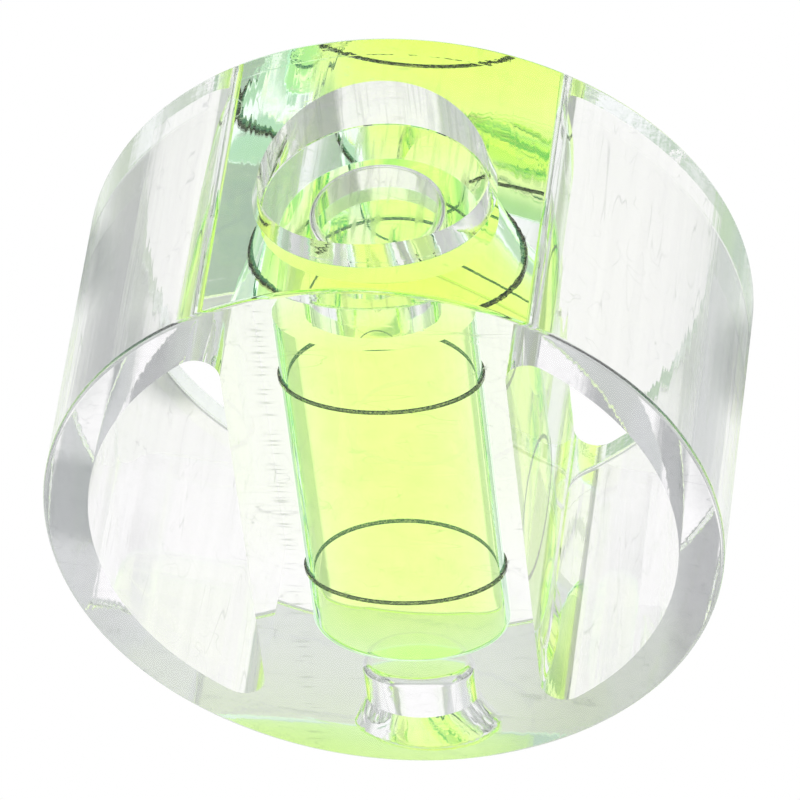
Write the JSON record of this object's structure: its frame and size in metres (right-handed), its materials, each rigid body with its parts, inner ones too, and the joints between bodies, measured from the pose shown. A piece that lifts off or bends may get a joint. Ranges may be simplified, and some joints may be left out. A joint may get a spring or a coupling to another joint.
{
  "type": "round bubble level vial",
  "caption": "Round clear block with D-shaped windows on both sides of a central bar that holds a green bubble vial, with an end plug in the rim.",
  "frame": {"origin": "centre of the flat back face that the block lies on", "axes": "+Z along the ring's axis, out of the front face; the vial runs along Y with its plug facing -Y; X across the windows"},
  "size_m": [0.03, 0.03, 0.0157],
  "materials": {
    "clear_acrylic": "clear polished acrylic with light handling scratches",
    "clear_plug": "clear moulded acrylic, turned scratches on the outer face",
    "gauge_paint": "matt black paint in a groove",
    "green_liquid": "clear yellow-green liquid",
    "bubble_air": "air"
  },
  "bodies": {
    "root": {"vial_block": "clear_acrylic", "end_plug": "clear_plug", "upper_gauge_ring": "gauge_paint", "lower_gauge_ring": "gauge_paint", "level_liquid": "green_liquid", "air_bubble": "bubble_air"}
  },
  "joints": []
}
